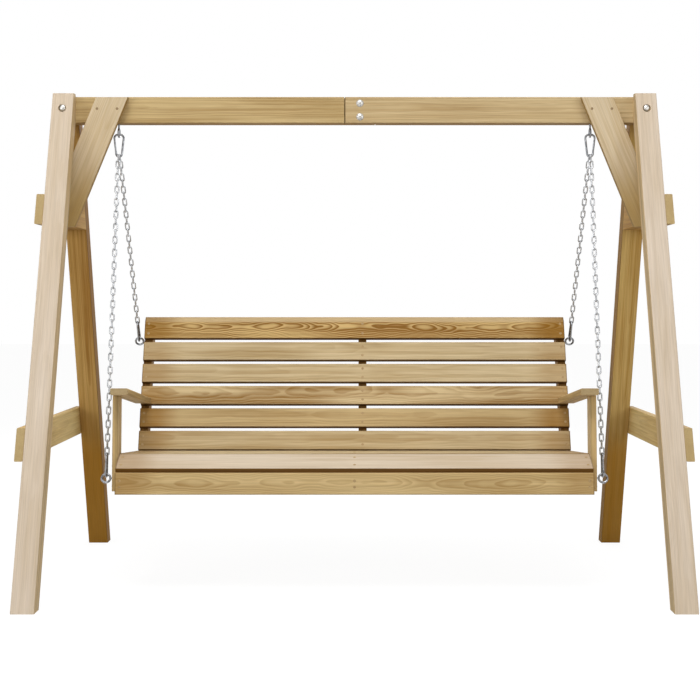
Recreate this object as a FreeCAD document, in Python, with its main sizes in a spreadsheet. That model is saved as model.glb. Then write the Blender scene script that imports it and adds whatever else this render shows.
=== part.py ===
# Garden swing seat: a timber stand with leaning legs, and a bench hung from its beam on chains.
# Millimetres and degrees. The origin is on the ground under the middle of the beam,
# +X is to the right as seen from the front, +Y to the back and +Z up, so the bench faces -Y.
import FreeCAD, Part
import math
import os
import Sketcher
from types import SimpleNamespace
from FreeCAD import Vector

DRIVING_SIZES = {
    # Legs and beam
    "leg_width": 70,
    "leg_depth": 70,
    "leg_lean": 23.24,
    "leg_top_rise": 8,
    "beam_depth": 68,
    "beam_height": 87,
    "beam_length": 1990,
    "beam_underside": 1495,
    "lap_length": 104,
    "lap_centre": 18,
    "lap_gap": 2,
    # Crossbars, spacer blocks and braces
    "crossbar_thickness": 25,
    "crossbar_height": 98,
    "lower_crossbar_level": 423,
    "upper_crossbar_drop": 345,
    "brace_thickness": 28,
    "brace_width": 98,
    "brace_tilt": 22.2,
    "brace_spread": 176.5,
    "brace_top_drop": 4,
    "edge_round": 3,
    # Seat
    "slat_length": 1480,
    "slat_thickness": 20,
    "seat_front": 303,
    "seat_level": 424,
    "seat_tilt": 4,
    "seat_slat_width": 98,
    "seat_gap": 13,
    "front_slat_width": 98,
    "front_slat_tilt": 22,
    "front_slat_gap": 14,
    "apron_height": 67,
    "apron_thickness": 20,
    "apron_lap": 5.5,
    "rail_thickness": 28,
    "rail_depth": 98,
    # Back
    "back_recline": 24,
    "back_gap": 4,
    "back_slat_width": 68,
    "back_slat_gap": 14.5,
    "top_slat_width": 86,
    "top_bevel_height": 22,
    "top_bevel_depth": 12,
    "post_depth": 68,
    "post_top_drop": 12,
    # Arms
    "arm_post_thickness": 20,
    "arm_post_depth": 68,
    "arm_post_lead": 36,
    "arm_width": 55,
    "arm_thickness": 20,
    "arm_level": 633,
    "arm_lead": 75,
    "arm_slope": 6.15,
    "arm_back_gap": 0.6,
    # Screws and bolts
    "screw_shank": 4.5,
    "screw_head": 9,
    "screw_rim": 0.4,
    "seat_screw_edge": 24,
    "back_screw_edge": 18,
    "screw_bite": 25,
    "frame_screw_bite": 42,
    "crossbar_screw_edge": 24,
    "spacer_screw_spread": 96,
    "brace_foot_screw": 40,
    "brace_screw_edge": 20,
    "brace_screw_drop": 38,
    "arm_screw_bite": 45,
    "frame_bolt": 10,
    "frame_bolt_head": 24.6,
    "frame_nut_flats": 17,
    "frame_nut_height": 8,
    "frame_washer": 25,
    "bench_bolt": 8,
    "bench_bolt_head": 20,
    "bench_nut_flats": 13,
    "bench_nut_height": 6.5,
    "bolt_head_height": 5,
    "bolt_clearance": 0.5,
    "bolt_tail": 4,
    "nut_clearance": 0.05,
    "washer_thickness": 2,
    "counterbore": 26.4,
    "counterbore_depth": 7.5,
    "splice_bolt_edge": 21,
    # Eye screws, snap hooks and chains
    "eye_wire": 7,
    "eye_radius": 13.5,
    "eye_neck": 6.4,
    "top_eye_screw_length": 40,
    "side_eye_screw_length": 24,
    "top_eye_outset": 26,
    "top_eye_drop": 12,
    "side_eye_drop": 6,
    "front_eye_height": 40,
    "rear_eye_height": 423,
    "hook_wire": 7,
    "hook_length": 73,
    "hook_bar": 8,
    "hook_wide_radius": 11.5,
    "hook_narrow_radius": 9.5,
    "gate_wire": 6.4,
    "gate_slot": 3.2,
    "gate_tongue": 2.8,
    "gate_tongue_radius": 3.1,
    "gate_pin": 2.5,
    "gate_pin_setback": 4.2,
    "gate_nose_gap": 0.5,
    "fork_reach": 3.4,
    "fork_floor": 3.6,
    "gate_shoulder": 5,
    "pin_clearance": 0.05,
    "contact_gap": 0.3,
    "chain_wire": 4.5,
    "chain_inner_width": 7.8,
    "chain_pitch": 22.4,
    "chain_spread": 2.6,
    "chain_seat": 7.4,
}
SEAT_SLATS = 4
BACK_SLATS = 5
SIDES = {"left": -1, "right": 1}
LONG_EDGE_SHARE = 0.5
ARM_BOLT_SHARES = (0.15, 0.8)

doc = FreeCAD.newDocument("garden_swing")
sheet = doc.addObject("Spreadsheet::Sheet", "Sizes")
for row, (alias, number) in enumerate(DRIVING_SIZES.items(), start=1):
    sheet.set(f"A{row}", alias)
    sheet.set(f"B{row}", str(number))
    sheet.setAlias(f"B{row}", alias)
derived = doc.addObject("Spreadsheet::Sheet", "Derived")
doc.recompute()
pieces = []


class Size:
    """A length, angle or ratio: its value, and the formula that ties it to the sheet."""

    def __init__(self, value, formula):
        self.value = value
        self.formula = formula

    def joined(self, other, sign, value):
        return Size(value, f"({self.formula} {sign} {as_size(other).formula})")

    def __add__(self, other):
        return self.joined(other, "+", self.value + as_size(other).value)

    def __sub__(self, other):
        return self.joined(other, "-", self.value - as_size(other).value)

    def __mul__(self, other):
        return self.joined(other, "*", self.value * as_size(other).value)

    def __truediv__(self, other):
        return self.joined(other, "/", self.value / as_size(other).value)

    def __neg__(self):
        return Size(-self.value, f"(0 - {self.formula})")

    def __radd__(self, other):
        return as_size(other) + self

    def __rsub__(self, other):
        return as_size(other) - self

    def __rmul__(self, other):
        return as_size(other) * self


def as_size(item):
    if isinstance(item, Size):
        return item
    return Size(float(item), f"({float(item)})")


def sine(angle):
    return Size(math.sin(math.radians(angle.value)), f"sin({angle.formula})")


def cosine(angle):
    return Size(math.cos(math.radians(angle.value)), f"cos({angle.formula})")


def worked_out(name, size):
    """Keep a derived size in the second sheet, so that other formulas can use its name."""
    row = len(derived.getUsedCells()) + 1
    derived.set(f"A{row}", f"={size.formula}")
    derived.setAlias(f"A{row}", name)
    return Size(size.value, f"Derived.{name}")


def worked_out_point(name, point):
    return (worked_out(f"{name}_y", point[0]), worked_out(f"{name}_z", point[1]))


def along(point, direction, distance):
    return (point[0] + direction[0] * distance, point[1] + direction[1] * distance)


def back_of(direction):
    return (-direction[0], -direction[1])


def cross(first, second):
    return first[0] * second[1] - first[1] * second[0]


def meet(point, direction, other, heading):
    """Where the line through point crosses the line through other."""
    apart = (other[0] - point[0], other[1] - point[1])
    return along(point, direction, cross(apart, heading) / cross(direction, heading))


def beside(side, inner, thickness):
    """Where a piece of this thickness starts in X, its inner face at inner on that side."""
    return inner if side > 0 else -(inner + thickness)


S = SimpleNamespace(**{a: Size(float(sheet.get(a)), f"Sizes.{a}") for a in DRIVING_SIZES})
UPRIGHT = (as_size(0), as_size(1))

# Lines of the stand
beam_front = S.beam_depth / 2
beam_end = S.beam_length / 2
beam_top = S.beam_underside + S.beam_height
beam_middle = S.beam_underside + S.beam_height / 2
leg_top = beam_top + S.leg_top_rise
leg_inner = beam_end - S.leg_width
upper_crossbar_level = S.beam_underside - S.upper_crossbar_drop
brace_reach = leg_inner - S.brace_spread
brace_top = beam_top - S.brace_top_drop
lean_slope = worked_out("lean_slope", sine(S.leg_lean) / cosine(S.leg_lean))
foot_inner = worked_out("foot_inner", beam_front + S.beam_underside * lean_slope)
foot_outer = worked_out("foot_outer", foot_inner + S.leg_depth / cosine(S.leg_lean))
lap_start = S.lap_centre - S.lap_length / 2
lap_end = S.lap_centre + S.lap_length / 2
right_tongue = lap_start + S.lap_gap
left_tongue = lap_end - S.lap_gap
counterbore_floor = foot_outer - beam_middle * lean_slope - S.counterbore_depth
splice_levels = (S.beam_underside + S.splice_bolt_edge, beam_top - S.splice_bolt_edge)
frame_bore = S.frame_bolt + S.bolt_clearance * 2

# Lines of the seat, in the Y Z plane
tilt_cos = worked_out("tilt_cos", cosine(S.seat_tilt))
tilt_sin = worked_out("tilt_sin", sine(S.seat_tilt))
seat_back = (tilt_cos, -tilt_sin)
seat_up = (tilt_sin, tilt_cos)
seat_down = back_of(seat_up)
seat_pitch = S.seat_slat_width + S.seat_gap
seat_corner = (-S.seat_front, S.seat_level)
seat_run = seat_pitch * SEAT_SLATS - S.seat_gap
seat_end = worked_out_point("seat_end", along(seat_corner, seat_back, seat_run))
rail_top = worked_out_point("rail_top", along(seat_corner, seat_down, S.slat_thickness))
rail_base = worked_out_point("rail_base", along(rail_top, seat_down, S.rail_depth))
front_cos = worked_out("front_cos", cosine(S.front_slat_tilt))
front_sin = worked_out("front_sin", sine(S.front_slat_tilt))
front_run = (-front_cos, -front_sin)
front_down = (front_sin, -front_cos)
front_corner = (seat_corner[0] - S.front_slat_gap, S.seat_level)
front_edge = along(front_corner, front_run, S.front_slat_width)
front_lip = worked_out_point("front_lip", along(front_edge, front_down, S.slat_thickness))
apron_corner = worked_out_point("apron_corner", along(front_lip, back_of(front_down), S.apron_lap))

# Lines of the back
recline_cos = worked_out("recline_cos", cosine(S.back_recline))
recline_sin = worked_out("recline_sin", sine(S.back_recline))
back_up = (recline_sin, recline_cos)
back_in = (recline_cos, -recline_sin)
back_foot = worked_out_point("back_foot", (seat_end[0] + S.back_gap, seat_end[1] + S.back_gap))
back_pitch = S.back_slat_width + S.back_slat_gap
back_height = back_pitch * BACK_SLATS + S.top_slat_width
post_front = worked_out_point("post_front", along(back_foot, back_in, S.slat_thickness))
post_rear = worked_out_point("post_rear", along(post_front, back_in, S.post_depth))
post_length = back_height - S.post_top_drop
lap_corners = [
    worked_out_point("lap_front_low", meet(rail_base, seat_back, post_front, back_up)),
    worked_out_point("lap_front_high", meet(rail_top, seat_back, post_front, back_up)),
    worked_out_point("lap_rear_high", meet(rail_top, seat_back, post_rear, back_up)),
    worked_out_point("lap_rear_low", meet(rail_base, seat_back, post_rear, back_up)),
]
lap_middle = tuple(sum((corner[i] for corner in lap_corners), as_size(0)) / 4 for i in (0, 1))

# Lines of the arms
arm_cos = worked_out("arm_cos", cosine(S.arm_slope))
arm_sin = worked_out("arm_sin", sine(S.arm_slope))
arm_run = (arm_cos, -arm_sin)
arm_down = (-arm_sin, -arm_cos)
arm_top = (seat_corner[0] - S.arm_lead, S.arm_level)
arm_base = worked_out_point("arm_base", along(arm_top, arm_down, S.arm_thickness))
arm_post_front = worked_out_point("arm_post_front", along(rail_base, seat_back, -S.arm_post_lead))
arm_post_rear = worked_out_point("arm_post_rear", along(arm_post_front, seat_back, S.arm_post_depth))
arm_post_middle = along(arm_post_front, seat_back, S.arm_post_depth / 2)
arm_bolt_points = [along(arm_post_middle, seat_up, S.rail_depth * share) for share in ARM_BOLT_SHARES]
bench_bore = S.bench_bolt + S.bolt_clearance * 2

# Places across the bench
bench_half = S.slat_length / 2
end_inner = bench_half - S.rail_thickness
arm_outer = bench_half + S.arm_post_thickness
rail_starts = {
    "left": -bench_half,
    "centre": -S.rail_thickness / 2,
    "right": end_inner,
}
post_starts = {
    "left": -bench_half,
    "centre": S.rail_thickness / 2,
    "right": end_inner,
}


def origin_plane(body, role):
    return next(feature for feature in body.Origin.OriginFeatures if feature.Role == role)


def new_sketch(body, name, plane, offset):
    sketch = body.newObject("Sketcher::SketchObject", name)
    sketch.AttachmentSupport = [(origin_plane(body, plane), "")]
    sketch.MapMode = "FlatFace"
    sketch.setExpression("AttachmentOffset.Base.z", as_size(offset).formula)
    return sketch


def hold(sketch, kind, edge, spot, size):
    """Fix one point of a sketch at a distance from the origin that follows the sheet."""
    size = as_size(size)
    index = sketch.addConstraint(Sketcher.Constraint(kind, -1, 1, edge, spot, size.value))
    sketch.setExpression(f"Constraints[{index}]", size.formula)


def outline(body, name, plane, corners, offset=0):
    sketch = new_sketch(body, name, plane, offset)
    corners = [(as_size(across), as_size(up)) for across, up in corners]
    spots = [Vector(across.value, up.value, 0) for across, up in corners]
    for start, end in zip(spots, spots[1:] + spots[:1]):
        sketch.addGeometry(Part.LineSegment(start, end), False)
    for edge, (across, up) in enumerate(corners):
        sketch.addConstraint(Sketcher.Constraint("Coincident", edge, 2, (edge + 1) % len(corners), 1))
        hold(sketch, "DistanceX", edge, 1, across)
        hold(sketch, "DistanceY", edge, 1, up)
    return sketch


def circle(body, name, plane, centre, diameter, offset=0):
    sketch = new_sketch(body, name, plane, offset)
    middle = Vector(as_size(centre[0]).value, as_size(centre[1]).value, 0)
    sketch.addGeometry(Part.Circle(middle, Vector(0, 0, 1), diameter.value / 2), False)
    hold(sketch, "DistanceX", 0, 3, centre[0])
    hold(sketch, "DistanceY", 0, 3, centre[1])
    index = sketch.addConstraint(Sketcher.Constraint("Diameter", 0, diameter.value))
    sketch.setExpression(f"Constraints[{index}]", diameter.formula)
    return sketch


def board(label, plane, corners, start, thickness):
    """A planed board: an outline padded to its thickness, its long edges rounded."""
    body = doc.addObject("PartDesign::Body", label)
    body.Label = label
    pad = body.newObject("PartDesign::Pad", f"{label}_pad")
    pad.Profile = outline(body, f"{label}_outline", plane, corners)
    pad.setExpression("Length", thickness.formula)
    axis = {"YZ_Plane": "x", "XZ_Plane": "y", "XY_Plane": "z"}[plane]
    body.setExpression(f"Placement.Base.{axis}", as_size(start).formula)
    doc.recompute()
    edges = pad.Shape.Edges
    long_edge = max(edge.Length for edge in edges) * LONG_EDGE_SHARE
    fillet = body.newObject("PartDesign::Fillet", f"{label}_edges")
    fillet.Base = (pad, [f"Edge{i + 1}" for i, edge in enumerate(edges) if edge.Length > long_edge])
    fillet.setExpression("Radius", S.edge_round.formula)
    doc.recompute()
    pieces.append(body)
    return body


def pocket(body, name, sketch, depth=None, both_ways=False, backward=False):
    """Cut a sketch out of a body, to a depth or right through, and see that it cut something."""
    before = body.Shape.Volume
    cut = body.newObject("PartDesign::Pocket", name)
    cut.Profile = sketch
    if depth is None:
        cut.Type = "ThroughAll"
    else:
        cut.setExpression("Length", depth.formula)
    cut.SideType = "Symmetric" if both_ways else "One side"
    cut.Reversed = backward
    doc.recompute()
    if not body.Shape.Volume < before:
        raise RuntimeError(f"{name} cuts nothing")


def bore(body, name, plane, centre, diameter):
    pocket(body, name, circle(body, f"{name}_circle", plane, centre, diameter), both_ways=True)


def make_legs():
    for side_name, side in SIDES.items():
        for end, way in (("front", -1), ("rear", 1)):
            label = f"{end}_leg_{side_name}"
            corners = [
                (foot_outer * way, 0),
                (foot_inner * way, 0),
                (beam_front * way, S.beam_underside),
                (beam_front * way, leg_top),
                ((foot_outer - leg_top * lean_slope) * way, leg_top),
            ]
            leg = board(label, "YZ_Plane", corners, beside(side, leg_inner, S.leg_width), S.leg_width)
            centre = (S.leg_width / 2, beam_middle)
            bore(leg, f"{label}_bore", "XZ_Plane", centre, frame_bore)
            seat = circle(leg, f"{label}_seat", "XZ_Plane", centre, S.counterbore, counterbore_floor * -way)
            pocket(leg, f"{label}_counterbore", seat, backward=way < 0)


def make_beam():
    right_corners = [
        (right_tongue, -beam_front), (beam_end, -beam_front), (beam_end, beam_front),
        (lap_end, beam_front), (lap_end, 0), (right_tongue, 0),
    ]
    left_corners = [
        (-beam_end, -beam_front), (lap_start, -beam_front), (lap_start, 0),
        (left_tongue, 0), (left_tongue, beam_front), (-beam_end, beam_front),
    ]
    for side_name, corners in (("left", left_corners), ("right", right_corners)):
        label = f"beam_{side_name}_half"
        half = board(label, "XY_Plane", corners, S.beam_underside, S.beam_height)
        end_place = (SIDES[side_name] * (beam_end - S.leg_width / 2), S.beam_height / 2)
        bore(half, f"{label}_end_bore", "XZ_Plane", end_place, frame_bore)
        for name, level in zip(("low", "high"), splice_levels):
            place = (S.lap_centre, level - S.beam_underside)
            bore(half, f"{label}_{name}_bore", "XZ_Plane", place, frame_bore)


def crossbar_corners(level, width_at):
    top = level + S.crossbar_height
    return [(-width_at(level), level), (width_at(level), level), (width_at(top), top), (-width_at(top), top)]


def leg_outside(level):
    return foot_outer - level * lean_slope


def leg_inside(level):
    return foot_inner - level * lean_slope


def make_side_boards():
    for side_name, side in SIDES.items():
        start = beside(side, beam_end, S.crossbar_thickness)
        for name, level in (("lower", S.lower_crossbar_level), ("upper", upper_crossbar_level)):
            corners = crossbar_corners(level, leg_outside)
            board(f"{name}_crossbar_{side_name}", "YZ_Plane", corners, start, S.crossbar_thickness)
        low, high = upper_crossbar_level, upper_crossbar_level + S.crossbar_height
        corners = [(-beam_front, low), (leg_inside(low), low), (leg_inside(high), high), (-beam_front, high)]
        start = beside(side, leg_inner, S.leg_width)
        board(f"spacer_block_{side_name}", "YZ_Plane", corners, start, S.leg_width)


def make_braces():
    """Boards from the beam's front face down to the spacer blocks, cut off at the crossbars."""
    slope = sine(S.brace_tilt) / cosine(S.brace_tilt)
    run = S.brace_width / cosine(S.brace_tilt)
    foot = upper_crossbar_level
    for side_name, side in SIDES.items():
        corners = [
            (side * brace_reach, brace_top),
            (side * (brace_reach + (brace_top - foot) * slope), foot),
            (side * beam_end, foot),
            (side * beam_end, brace_top - (beam_end - brace_reach - run) / slope),
            (side * (brace_reach + run), brace_top),
        ]
        board(f"beam_brace_{side_name}", "XZ_Plane", corners, -beam_front, S.brace_thickness)


def slat(label, corner, run, inward, width, thickness=S.slat_thickness):
    edge = along(corner, run, width)
    corners = [corner, edge, along(edge, inward, thickness), along(corner, inward, thickness)]
    return board(label, "YZ_Plane", corners, -bench_half, S.slat_length)


def seat_slat_corner(number):
    return along(seat_corner, seat_back, seat_pitch * number)


def back_slat_corner(number):
    return along(back_foot, back_up, back_pitch * number)


def make_slats():
    slat("front_seat_slat", front_corner, front_run, front_down, S.front_slat_width)
    for number in range(SEAT_SLATS):
        label = f"seat_slat_{number + 1}"
        slat(label, seat_slat_corner(number), seat_back, seat_down, S.seat_slat_width)
    slat("front_apron", apron_corner, back_of(UPRIGHT), (as_size(-1), as_size(0)),
         S.apron_height, S.apron_thickness)
    for number in range(BACK_SLATS):
        slat(f"back_slat_{number + 1}", back_slat_corner(number), back_up, back_in, S.back_slat_width)
    corner = back_slat_corner(BACK_SLATS)
    edge = along(corner, back_up, S.top_slat_width)
    corners = [
        corner,
        along(corner, back_up, S.top_slat_width - S.top_bevel_height),
        along(edge, back_in, S.top_bevel_depth),
        along(edge, back_in, S.slat_thickness),
        along(corner, back_in, S.slat_thickness),
    ]
    board("top_back_slat", "YZ_Plane", corners, -bench_half, S.slat_length)


def halve(body, label, inner_half, side):
    """Cut a half-lap: the rail keeps its inner half and the post its outer half."""
    half = S.rail_thickness / 2
    cut_near_origin = inner_half == (side > 0)
    offset = half if cut_near_origin else S.rail_thickness
    sketch = outline(body, f"{label}_lap_outline", "YZ_Plane", lap_corners, offset)
    pocket(body, f"{label}_lap", sketch, half)


def make_rails_and_posts():
    rail_corners = [
        meet(rail_base, seat_back, apron_corner, UPRIGHT),
        meet(front_lip, front_run, apron_corner, UPRIGHT),
        meet(front_lip, front_run, rail_top, seat_back),
        lap_corners[2],
        lap_corners[3],
    ]
    post_corners = [
        lap_corners[0],
        along(post_front, back_up, post_length),
        along(post_rear, back_up, post_length),
        lap_corners[3],
    ]
    for name in rail_starts:
        rail_label = f"seat_rail_{name}"
        post_label = f"back_post_{name}"
        rail = board(rail_label, "YZ_Plane", rail_corners, rail_starts[name], S.rail_thickness)
        post = board(post_label, "YZ_Plane", post_corners, post_starts[name], S.rail_thickness)
        if name in SIDES:
            halve(rail, rail_label, False, SIDES[name])
            halve(post, post_label, True, SIDES[name])
            for number, place in enumerate(arm_bolt_points):
                bore(rail, f"{rail_label}_arm_bore_{number}", "YZ_Plane", place, bench_bore)
        bore(rail, f"{rail_label}_bore", "YZ_Plane", lap_middle, bench_bore)
        bore(post, f"{post_label}_bore", "YZ_Plane", lap_middle, bench_bore)


def make_arms():
    post_corners = [
        arm_post_front,
        meet(arm_post_front, seat_up, arm_base, arm_run),
        meet(arm_post_rear, seat_up, arm_base, arm_run),
        arm_post_rear,
    ]
    back_stop = along(back_foot, back_of(back_in), S.arm_back_gap)
    rest_corners = [
        arm_top,
        meet(arm_top, arm_run, back_stop, back_up),
        meet(arm_base, arm_run, back_stop, back_up),
        arm_base,
    ]
    for side_name, side in SIDES.items():
        label = f"arm_post_{side_name}"
        start = beside(side, bench_half, S.arm_post_thickness)
        post = board(label, "YZ_Plane", post_corners, start, S.arm_post_thickness)
        for number, place in enumerate(arm_bolt_points):
            bore(post, f"{label}_bore_{number}", "YZ_Plane", place, bench_bore)
        start = beside(side, arm_outer - S.arm_width, S.arm_width)
        board(f"armrest_{side_name}", "YZ_Plane", rest_corners, start, S.arm_width)


def group(label, solids):
    """One node for separate solids of a kind: fasteners, links or hooks."""
    feature = doc.addObject("Part::Feature", label)
    feature.Label = label
    feature.Shape = solids[0] if len(solids) == 1 else Part.makeCompound(solids)
    pieces.append(feature)


def placed(shape, spot, direction):
    """A copy of a shape made along +Z, moved to a spot and turned to a direction."""
    copy = shape.copy()
    copy.Placement = FreeCAD.Placement(spot, FreeCAD.Rotation(Vector(0, 0, 1), direction))
    return copy


def in_frame(shape, spot, across, along_axis):
    """A copy of a shape with its X turned to across and its Z to along_axis."""
    copy = shape.copy()
    turn = FreeCAD.Rotation(across, along_axis.cross(across), along_axis, "ZXY")
    copy.Placement = FreeCAD.Placement(spot, turn)
    return copy


def spot_at(across, point):
    return Vector(as_size(across).value, point[0].value, point[1].value)


def heading(direction):
    return Vector(0, direction[0].value, direction[1].value)


def turned(profile):
    """A solid of revolution about Z from a profile of radius and height pairs."""
    wire = Part.makePolygon([Vector(radius, 0, height) for radius, height in profile + profile[:1]])
    return Part.Face(wire).revolve(Vector(0, 0, 0), Vector(0, 0, 1), 360)


def wood_screw(length):
    """A countersunk screw, its rim just above Z = 0 and its point towards +Z."""
    head = S.screw_head.value / 2
    shank = S.screw_shank.value / 2
    rim = S.screw_rim.value
    cone = head - shank
    return turned([(0, -rim), (head - rim, -rim), (head, 0), (shank, cone),
                   (shank, length - S.screw_shank.value), (0, length)])


def carriage_bolt(diameter, head, length):
    """A bolt with a domed head above Z = 0 and its shank towards +Z."""
    rise = S.bolt_head_height.value
    dome = Part.makeSphere((head ** 2 / 4 + rise ** 2) / (2 * rise))
    dome.translate(Vector(0, 0, dome.BoundBox.ZMax - rise))
    cap = dome.common(Part.makeCylinder(head, rise, Vector(0, 0, -rise)))
    return cap.fuse(Part.makeCylinder(diameter / 2, length)).removeSplitter()


def hex_nut(diameter, flats, height):
    corner = flats / math.sqrt(3)
    ring = [Vector(corner * math.cos(math.radians(60 * i)), corner * math.sin(math.radians(60 * i)), 0)
            for i in range(7)]
    blank = Part.Face(Part.makePolygon(ring)).extrude(Vector(0, 0, height))
    return blank.cut(Part.makeCylinder(diameter / 2 + S.nut_clearance.value, height))


def flat_washer():
    thickness = S.washer_thickness.value
    hole = Part.makeCylinder(frame_bore.value / 2, thickness)
    return Part.makeCylinder(S.frame_washer.value / 2, thickness).cut(hole)


def make_frame_bolts():
    stack = S.washer_thickness.value + S.frame_nut_height.value + S.bolt_tail.value
    size = S.frame_bolt.value
    nut = hex_nut(size, S.frame_nut_flats.value, S.frame_nut_height.value)
    front_to_back = Vector(0, 1, 0)
    washer_thickness = Vector(0, S.washer_thickness.value, 0)
    washers = []
    nuts = []

    def bolts_at(spots, reach):
        bolt = carriage_bolt(size, S.frame_bolt_head.value, 2 * reach + stack)
        solids = []
        for across, level in spots:
            solids.append(placed(bolt, Vector(across, -reach, level), front_to_back))
            washers.append(placed(flat_washer(), Vector(across, reach, level), front_to_back))
            nuts.append(placed(nut, Vector(across, reach, level) + washer_thickness, front_to_back))
        return solids

    leg_middle = (beam_end - S.leg_width / 2).value
    leg_spots = [(side * leg_middle, beam_middle.value) for side in SIDES.values()]
    group("leg_bolts", bolts_at(leg_spots, counterbore_floor.value))
    splice_spots = [(S.lap_centre.value, level.value) for level in splice_levels]
    group("splice_bolts", bolts_at(splice_spots, beam_front.value))
    group("frame_washers", washers)
    group("frame_nuts", nuts)


def make_frame_screws():
    crossbar_screw = wood_screw((S.crossbar_thickness + S.frame_screw_bite).value)
    brace_screw = wood_screw((S.brace_thickness + S.frame_screw_bite).value)
    outside = (beam_end + S.crossbar_thickness).value
    spacer_level = (upper_crossbar_level + S.crossbar_height / 2).value
    brace_face = -(beam_front + S.brace_thickness).value
    slant = (S.brace_screw_drop * sine(S.brace_tilt) / cosine(S.brace_tilt)).value
    run = (S.brace_width / cosine(S.brace_tilt)).value
    near = brace_reach.value + slant
    screws = []
    for side in SIDES.values():
        inward = Vector(-side, 0, 0)
        for base in (S.lower_crossbar_level, upper_crossbar_level):
            for level in (base + S.crossbar_screw_edge, base + S.crossbar_height - S.crossbar_screw_edge):
                middle = ((leg_outside(level) + leg_inside(level)) / 2).value
                for way in (-1, 1):
                    spot = Vector(side * outside, way * middle, level.value)
                    screws.append(placed(crossbar_screw, spot, inward))
        for across in (0, S.spacer_screw_spread.value):
            spot = Vector(side * outside, across, spacer_level)
            screws.append(placed(crossbar_screw, spot, inward))
        places = [(near + S.brace_screw_edge.value, (brace_top - S.brace_screw_drop).value),
                  (near + run - S.brace_screw_edge.value, (brace_top - S.brace_screw_drop).value)]
        for level in (S.crossbar_screw_edge, S.crossbar_height - S.crossbar_screw_edge):
            foot_screw = (beam_end - S.brace_foot_screw).value
            places.append((foot_screw, (upper_crossbar_level + level).value))
        for reach, level in places:
            screws.append(placed(brace_screw, Vector(side * reach, brace_face, level), Vector(0, 1, 0)))
    group("frame_screws", screws)


def make_bench_screws():
    slat_screw = wood_screw((S.slat_thickness + S.screw_bite).value)
    apron_screw = wood_screw((S.apron_thickness + S.screw_bite).value)
    rail_middles = [(start + S.rail_thickness / 2).value for start in rail_starts.values()]
    post_middles = [(start + S.rail_thickness / 2).value for start in post_starts.values()]
    seat_screws = []
    rows = [(front_corner, front_run, front_down, S.front_slat_width)]
    for number in range(SEAT_SLATS):
        rows.append((seat_slat_corner(number), seat_back, seat_down, S.seat_slat_width))
    for corner, run, inward, width in rows:
        for reach in (S.seat_screw_edge, width - S.seat_screw_edge):
            for across in rail_middles:
                spot = spot_at(across, along(corner, run, reach))
                seat_screws.append(placed(slat_screw, spot, heading(inward)))
    apron_face = apron_corner[0] - S.apron_thickness
    for reach in (S.seat_screw_edge, S.apron_height - S.seat_screw_edge):
        for across in rail_middles:
            spot = spot_at(across, (apron_face, apron_corner[1] - reach))
            seat_screws.append(placed(apron_screw, spot, Vector(0, 1, 0)))
    seat_screws.extend(arm_screws())
    group("seat_screws", seat_screws)

    back_screws = []
    places = []
    for number in range(BACK_SLATS):
        for reach in (S.back_screw_edge, S.back_slat_width - S.back_screw_edge):
            places.append(along(back_slat_corner(number), back_up, reach))
    corner = back_slat_corner(BACK_SLATS)
    top_reach = S.top_slat_width - S.top_bevel_height - S.back_screw_edge / 2
    for reach in (S.back_screw_edge, top_reach):
        places.append(along(corner, back_up, reach))
    for place in places:
        for across in post_middles:
            back_screws.append(placed(slat_screw, spot_at(across, place), heading(back_in)))
    group("back_slat_screws", back_screws)


def arm_screws():
    """Screws down into each arm post, and one from behind each end post into the armrest."""
    down_screw = wood_screw((S.arm_thickness + S.arm_screw_bite).value)
    post_top = meet(arm_post_middle, seat_up, arm_top, arm_run)
    arm_middle = along(arm_top, arm_down, S.arm_thickness / 2)
    rear = meet(arm_middle, arm_run, post_rear, back_up)
    front = meet(arm_middle, arm_run, back_foot, back_up)
    passage = math.hypot((rear[0] - front[0]).value, (rear[1] - front[1]).value)
    rear_screw = wood_screw(passage + S.arm_screw_bite.value)
    post_middle = (bench_half + S.arm_post_thickness / 2).value
    rear_screw_across = (end_inner + S.rail_thickness / 4).value
    spread = S.arm_post_depth / 4
    screws = []
    for side in SIDES.values():
        for reach in (-spread, spread):
            spot = spot_at(side * post_middle, along(post_top, arm_run, reach))
            screws.append(placed(down_screw, spot, heading(arm_down)))
        spot = spot_at(side * rear_screw_across, rear)
        screws.append(placed(rear_screw, spot, heading(back_of(arm_run))))
    return screws


def make_bench_bolts():
    size = S.bench_bolt.value
    head = S.bench_bolt_head.value
    nut = hex_nut(size, S.bench_nut_flats.value, S.bench_nut_height.value)
    stack = S.bench_nut_height.value + S.bolt_tail.value
    bolts = []
    nuts = []

    def join(start, end, point):
        inward = Vector(math.copysign(1, end - start), 0, 0)
        bolt = carriage_bolt(size, head, abs(end - start) + stack)
        bolts.append(placed(bolt, spot_at(start, point), inward))
        nuts.append(placed(nut, spot_at(end, point), inward))

    for side in SIDES.values():
        for point in arm_bolt_points:
            join(side * arm_outer.value, side * end_inner.value, point)
        join(side * bench_half.value, side * end_inner.value, lap_middle)
    centre_end = rail_starts["centre"].value
    join((post_starts["centre"] + S.rail_thickness).value, centre_end, lap_middle)
    group("bench_bolts", bolts)
    group("bench_nuts", nuts)


def eye_screw(drop, screw_length):
    """A screw eye: ring centre at the origin, ring in the X Z plane, screw towards -Z."""
    wire = S.eye_wire.value / 2
    radius = S.eye_radius.value
    neck = S.eye_neck.value / 2
    ring = Part.makeTorus(radius, wire, Vector(0, 0, 0), Vector(0, 1, 0))
    length = wire + drop.value + screw_length.value
    tip = turned([(0, 0), (neck, 0), (neck, length - neck), (0, length)])
    return ring.fuse(placed(tip, Vector(0, 0, -radius), Vector(0, 0, -1))).removeSplitter()


def eye_reach(drop):
    """How far a ring's centre stands from the wood."""
    return (S.eye_radius + S.eye_wire / 2 + drop).value


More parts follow.
